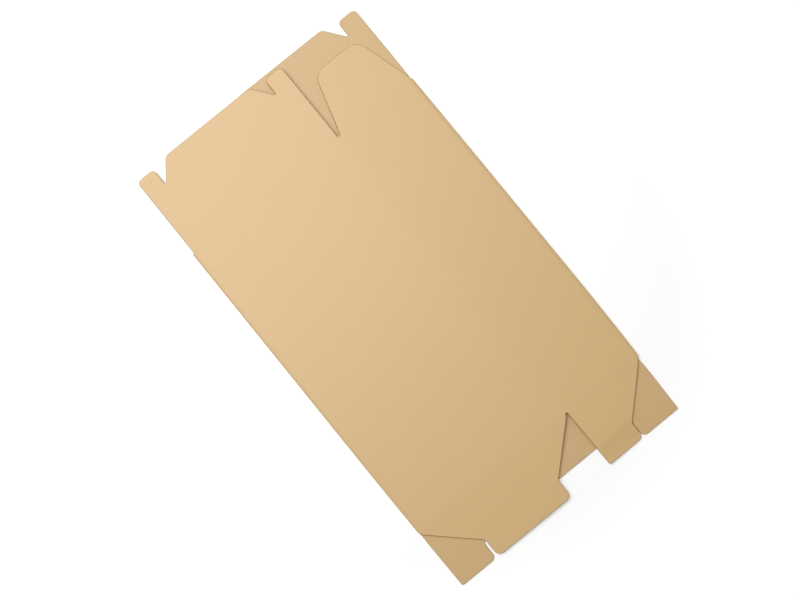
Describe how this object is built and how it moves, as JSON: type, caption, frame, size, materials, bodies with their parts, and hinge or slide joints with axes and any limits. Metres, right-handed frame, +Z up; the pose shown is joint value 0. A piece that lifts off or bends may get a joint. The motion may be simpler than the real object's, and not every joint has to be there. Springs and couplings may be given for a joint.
{
  "type": "flattened cardboard box",
  "caption": "Kraft carton folded flat: a glued tube of panels with tongued closing flaps and dust flaps at the top and a snap-lock bottom, its upper flaps swinging on their creases.",
  "frame": {"origin": "on the ground under the middle of the flat box's outline", "axes": "+X across the flat box from the fold beside the front panel, +Y along its height towards the closing flaps, +Z up through the layers"},
  "size_m": [0.2572, 0.4726, 0.0059],
  "materials": {
    "kraft_board": "uncoated brown kraft paper, matt, inner face slightly darker"
  },
  "bodies": {
    "tube": {"panel_tube": "kraft_board"},
    "closing_flap": {"closing_flap": "kraft_board"},
    "dust_flap": {"dust_flap": "kraft_board"},
    "bottom_tongue_flap": {"bottom_tongue_flap": "kraft_board"},
    "bottom_side_flap": {"bottom_side_flap": "kraft_board"}
  },
  "joints": [
    {"name": "closing_flap_crease", "type": "hinge", "parent": "tube", "child": "closing_flap", "pos_m": [-0.04275, 0.1489, 0.00485], "axis": [0.9999, 0, 0.0125], "range_deg": [0, 170]},
    {"name": "dust_flap_crease", "type": "hinge", "parent": "tube", "child": "dust_flap", "pos_m": [0.08575, 0.1489, 0.00484], "axis": [0.9997, 0, -0.0254], "range_deg": [0, 170]},
    {"name": "bottom_tongue_crease", "type": "hinge", "parent": "tube", "child": "bottom_tongue_flap", "pos_m": [-0.04275, -0.1751, 0.00485], "axis": [-0.9999, 0, -0.0125], "range_deg": [0, 170]},
    {"name": "bottom_side_crease", "type": "hinge", "parent": "tube", "child": "bottom_side_flap", "pos_m": [0.08575, -0.1751, 0.00484], "axis": [-0.9997, 0, 0.0254], "range_deg": [0, 170]}
  ]
}
